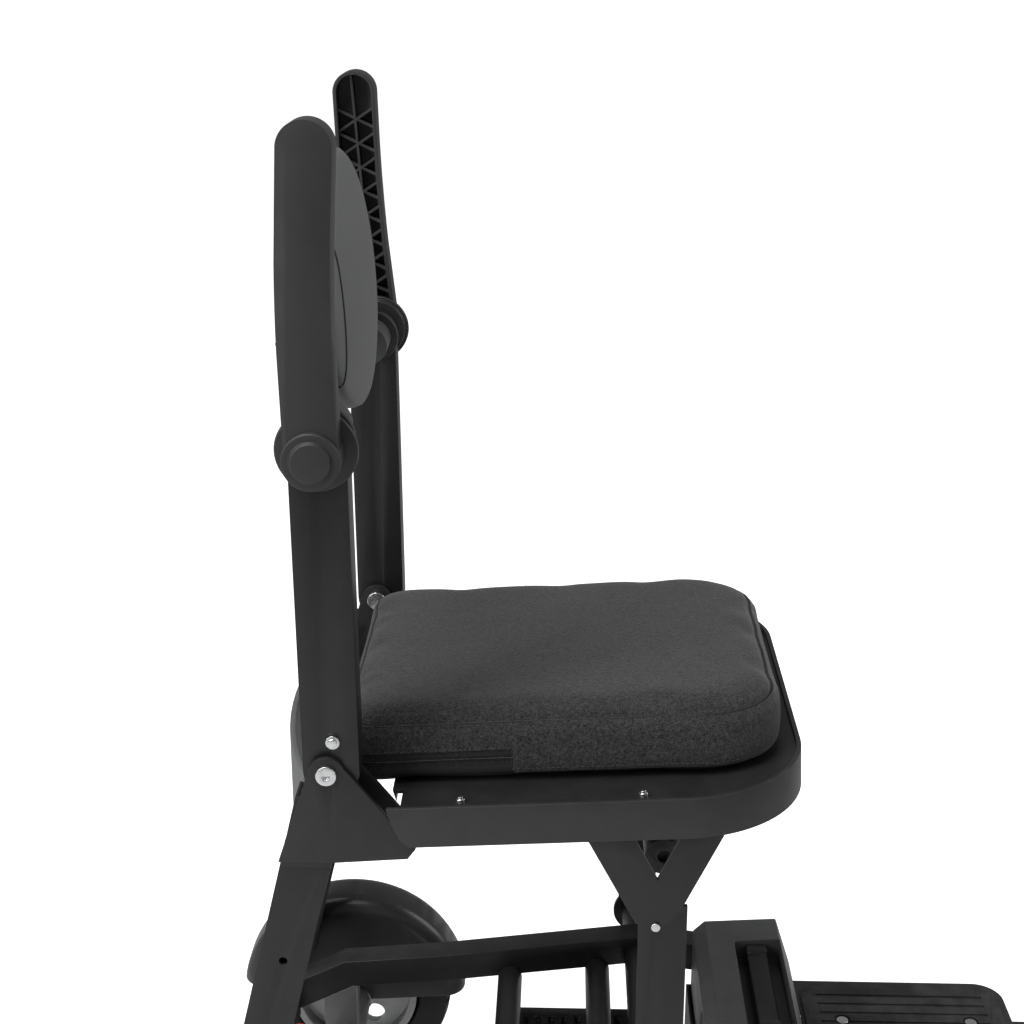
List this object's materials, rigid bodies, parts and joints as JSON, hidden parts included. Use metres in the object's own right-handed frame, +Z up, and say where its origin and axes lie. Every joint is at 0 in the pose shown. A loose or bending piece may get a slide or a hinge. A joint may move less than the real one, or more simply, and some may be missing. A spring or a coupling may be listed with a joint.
{
  "type": "mobility scooter",
  "caption": "Folding travel mobility scooter with a padded seat on a raised frame, a folding backrest with flip-up armrests, a steering tiller and a low floor.",
  "frame": {"origin": "on the ground at the centre of the overall box", "axes": "+X forward, +Y to the rider's left, +Z up"},
  "size_m": [0.998, 0.488, 0.9885],
  "materials": {
    "frame_black": "satin powder coat",
    "post_black": "satin powder coat",
    "tray_black": "satin powder coat",
    "arm_plastic": "fine texture",
    "hinge_plastic": "fine texture",
    "pad_skin": "soft matt skin",
    "shell_plastic": "fine texture",
    "cushion_fabric": "melange weave",
    "panel_plastic": "satin",
    "fender_plastic": "fine texture",
    "case_plastic": "fine texture",
    "dark_plastic": "fine texture",
    "cast_alloy": "cast",
    "deck_alloy": "satin paint",
    "tube_alloy": "brushed anodised",
    "rim_alloy": "satin",
    "bright_steel": "zinc plated",
    "tyre_rubber": "matt",
    "grip_rubber": "ribbed",
    "mat_rubber": "ribbed",
    "cable_rubber": "smooth",
    "red_plastic": "gloss",
    "red_lens": "prism lens",
    "clear_lens": "clear"
  },
  "bodies": {
    "chassis": {"chassis_rails": "frame_black", "chassis_cross_tubes": "frame_black", "floor_pan": "deck_alloy", "floor_mat": "mat_rubber", "transaxle_case": "cast_alloy", "drive_motor": "frame_black", "rear_fenders": "fender_plastic", "battery_cradle": "deck_alloy", "controller_box": "dark_plastic", "charge_port": "dark_plastic", "rear_legs": "frame_black", "gusset_plates": "frame_black", "rear_cross_panel": "panel_plastic", "seat_tray": "tray_black", "y_side_plates": "frame_black", "front_seat_tube": "frame_black", "seat_lug": "dark_plastic", "seat_cushion": "cushion_fabric", "frame_fasteners": "bright_steel", "head_tube": "frame_black", "head_bearings": "bright_steel", "anti_tip_arms": "frame_black", "rear_reflectors": "red_lens", "power_cable": "cable_rubber", "pivot_bolts": "bright_steel"},
    "rear_wheel_right": {"rear_tyre_right": "tyre_rubber", "rear_rim_right": "rim_alloy"},
    "rear_wheel_left": {"rear_tyre_left": "tyre_rubber", "rear_rim_left": "rim_alloy"},
    "anti_tip_right": {"anti_tip_wheel_right": "tyre_rubber"},
    "anti_tip_left": {"anti_tip_wheel_left": "tyre_rubber"},
    "steering": {"steering_fork": "frame_black", "fork_axle": "bright_steel", "front_fender": "fender_plastic", "tiller_yoke": "cast_alloy"},
    "front_wheel": {"front_tyre": "tyre_rubber", "front_rim": "rim_alloy"},
    "tiller_lower": {"tiller_tube_lower": "frame_black"},
    "tiller_upper": {"tiller_tube_upper": "tube_alloy", "control_housing": "dark_plastic", "control_cover": "case_plastic", "handlebar": "frame_black", "hand_grips": "grip_rubber", "headlight": "clear_lens"},
    "wigwag": {"wigwag_lever": "dark_plastic"},
    "dial": {"speed_dial": "dark_plastic"},
    "key": {"ignition_key": "bright_steel"},
    "horn": {"horn_button": "red_plastic"},
    "height_clamp": {"height_clamp_lever": "cast_alloy"},
    "tilt_release": {"tilt_release_lever": "red_plastic"},
    "backrest": {"backrest_posts": "post_black", "hinge_flanges": "hinge_plastic", "backrest_shell": "shell_plastic", "backrest_pad": "pad_skin", "stop_studs": "bright_steel"},
    "arm_right": {"armrest_right": "arm_plastic"},
    "arm_left": {"armrest_left": "arm_plastic"},
    "battery": {"battery_case": "case_plastic", "battery_handle": "dark_plastic"},
    "freewheel": {"freewheel_lever": "red_plastic"}
  },
  "joints": [
    {"name": "rear_wheel_right_spin", "type": "hinge", "parent": "chassis", "child": "rear_wheel_right", "pos_m": [-0.337, -0.215, 0.095], "axis": [0, 1, 0], "continuous": true},
    {"name": "rear_wheel_left_spin", "type": "hinge", "parent": "chassis", "child": "rear_wheel_left", "pos_m": [-0.337, 0.215, 0.095], "axis": [0, 1, 0], "continuous": true},
    {"name": "anti_tip_right_spin", "type": "hinge", "parent": "chassis", "child": "anti_tip_right", "pos_m": [-0.469, -0.072, 0.038], "axis": [0, 1, 0], "continuous": true},
    {"name": "anti_tip_left_spin", "type": "hinge", "parent": "chassis", "child": "anti_tip_left", "pos_m": [-0.469, 0.072, 0.038], "axis": [0, 1, 0], "continuous": true},
    {"name": "steering_turn", "type": "hinge", "parent": "chassis", "child": "steering", "pos_m": [0.40276, 0, 0.21351], "axis": [-0.0872, 0, 0.9962], "range_deg": [-40, 40]},
    {"name": "front_wheel_spin", "type": "hinge", "parent": "steering", "child": "front_wheel", "pos_m": [0.414, 0, 0.085], "axis": [0, 1, 0], "continuous": true},
    {"name": "tiller_tilt", "type": "hinge", "parent": "steering", "child": "tiller_lower", "pos_m": [0.3923, 0, 0.33305], "axis": [0, 1, 0], "range_deg": [-20, 0]},
    {"name": "tiller_height", "type": "slide", "parent": "tiller_lower", "child": "tiller_upper", "axis": [0.0872, 0, -0.9962], "range_m": [0, 0.08]},
    {"name": "wigwag_swing", "type": "hinge", "parent": "tiller_upper", "child": "wigwag", "pos_m": [0.34933, 0, 0.82418], "axis": [-0.0872, 0, 0.9962], "range_deg": [-12, 12], "stiffness_Nm_per_rad": 0.6},
    {"name": "speed_dial_turn", "type": "hinge", "parent": "tiller_upper", "child": "dial", "pos_m": [0.33709, -0.042, 0.87229], "axis": [-0.0872, 0, 0.9962], "range_deg": [0, 270]},
    {"name": "key_turn", "type": "hinge", "parent": "tiller_upper", "child": "key", "pos_m": [0.33709, 0.042, 0.87229], "axis": [-0.0872, 0, 0.9962], "range_deg": [-90, 0]},
    {"name": "horn_press", "type": "slide", "parent": "tiller_upper", "child": "horn", "axis": [0.0872, 0, -0.9962], "range_m": [0, 0.003], "stiffness_N_per_m": 300, "springref_m": -0.002},
    {"name": "height_clamp_open", "type": "hinge", "parent": "tiller_lower", "child": "height_clamp", "pos_m": [0.3304, 0, 0.66191], "axis": [0, 1, 0], "range_deg": [0, 70]},
    {"name": "tilt_release_press", "type": "hinge", "parent": "steering", "child": "tilt_release", "pos_m": [0.35853, 0, 0.30601], "axis": [0, 1, 0], "range_deg": [0, 20], "stiffness_Nm_per_rad": 1, "springref_deg": -11.46},
    {"name": "backrest_fold", "type": "hinge", "parent": "chassis", "child": "backrest", "pos_m": [-0.299, 0, 0.535], "axis": [0, 1, 0], "range_deg": [0, 75]},
    {"name": "armrest_right_flip", "type": "hinge", "parent": "backrest", "child": "arm_right", "pos_m": [-0.297, -0.2, 0.773], "axis": [0, 1, 0], "range_deg": [0, 90]},
    {"name": "armrest_left_flip", "type": "hinge", "parent": "backrest", "child": "arm_left", "pos_m": [-0.297, 0.2, 0.773], "axis": [0, 1, 0], "range_deg": [0, 90]},
    {"name": "battery_lift", "type": "slide", "parent": "chassis", "child": "battery", "axis": [0, 0, 1], "range_m": [0, 0.14]},
    {"name": "freewheel_switch", "type": "hinge", "parent": "chassis", "child": "freewheel", "pos_m": [-0.369, 0.016, 0.12], "axis": [0, 1, 0], "range_deg": [0, 30]}
  ]
}
